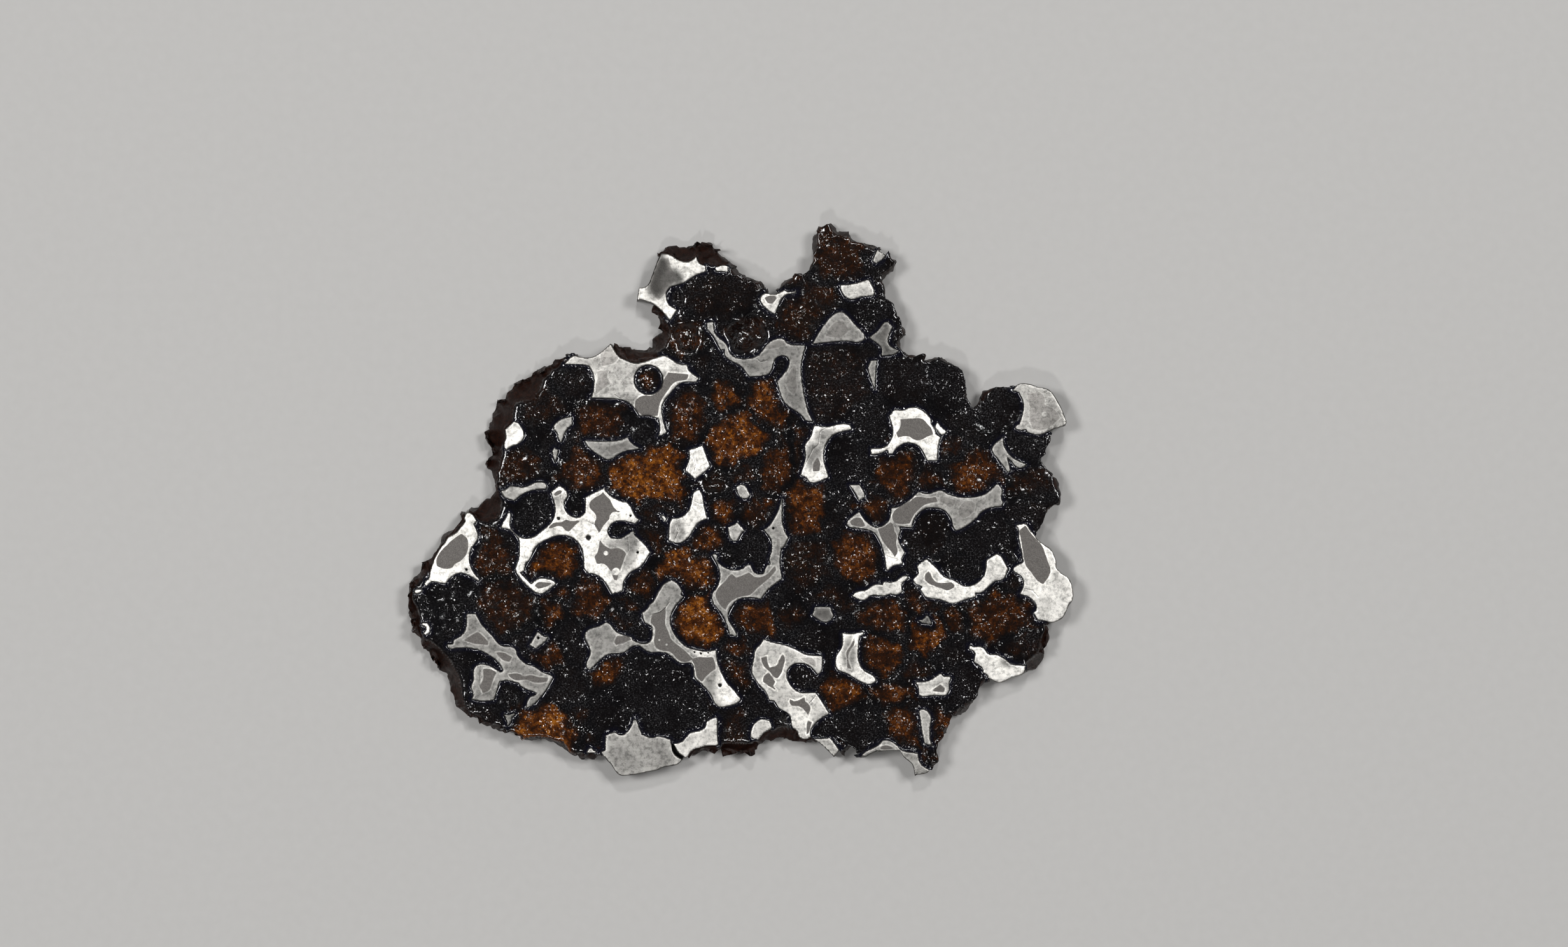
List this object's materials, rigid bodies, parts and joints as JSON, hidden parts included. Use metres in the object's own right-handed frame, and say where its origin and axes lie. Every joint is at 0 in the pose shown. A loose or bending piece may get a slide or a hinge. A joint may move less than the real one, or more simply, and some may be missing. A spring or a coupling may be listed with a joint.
{
  "type": "meteorite slice",
  "caption": "Flat cut slice of stony-iron meteorite: dark olivine crystals with pale iron-nickel metal between them and a natural outer rim.",
  "frame": {"origin": "centre of the slice's outline, on the flat back face that it lies on", "axes": "+Z out of the cut front face, +X to the slice's right (its longest way) and +Y to its top, where the two small lobes are, seen from the front"},
  "size_m": [0.0738, 0.0612, 0.0035],
  "materials": {
    "metal": "satin",
    "olivine": "gloss"
  },
  "bodies": {
    "root": {"metal_bar": "metal", "metal_boat": "metal", "metal_bottom_chip": "metal", "metal_bottom_wedge": "metal", "metal_centre": "metal", "metal_centre_crumb": "metal", "metal_centre_wedge": "metal", "metal_crescent": "metal", "metal_curved_strip": "metal", "metal_diamond": "metal", "metal_foot_strip": "metal", "metal_hook": "metal", "metal_knob": "metal", "metal_leaf": "metal", "metal_leaf_fleck": "metal", "metal_left_chip": "metal", "metal_left_ear": "metal", "metal_left_ear_chip": "metal", "metal_left_edge_fleck": "metal", "metal_left_edge_hook": "metal", "metal_left_foot": "metal", "metal_left_foot_fleck": "metal", "metal_left_network": "metal", "metal_left_strip": "metal", "metal_left_tip": "metal", "metal_lower_band": "metal", "metal_lower_centre": "metal", "metal_lower_left_spur": "metal", "metal_lower_left_star": "metal", "metal_lower_right": "metal", "metal_notch": "metal", "metal_oval": "metal", "metal_right_band": "metal", "metal_right_bar": "metal", "metal_right_chip": "metal", "metal_right_ear_bar": "metal", "metal_right_ear_chip": "metal", "metal_right_edge": "metal", "metal_right_foot": "metal", "metal_small_leaf": "metal", "metal_small_star": "metal", "metal_square": "metal", "metal_thin_sliver": "metal", "metal_tiny_star": "metal", "metal_triangle": "metal", "metal_upper_centre": "metal", "metal_upper_left": "metal", "metal_upper_sliver": "metal", "metal_vee": "metal", "metal_white_strip": "metal", "metal_window": "metal", "metal_window_chip": "metal", "olivine_crystals": "olivine", "olivine_round_crystal": "olivine"}
  },
  "joints": []
}
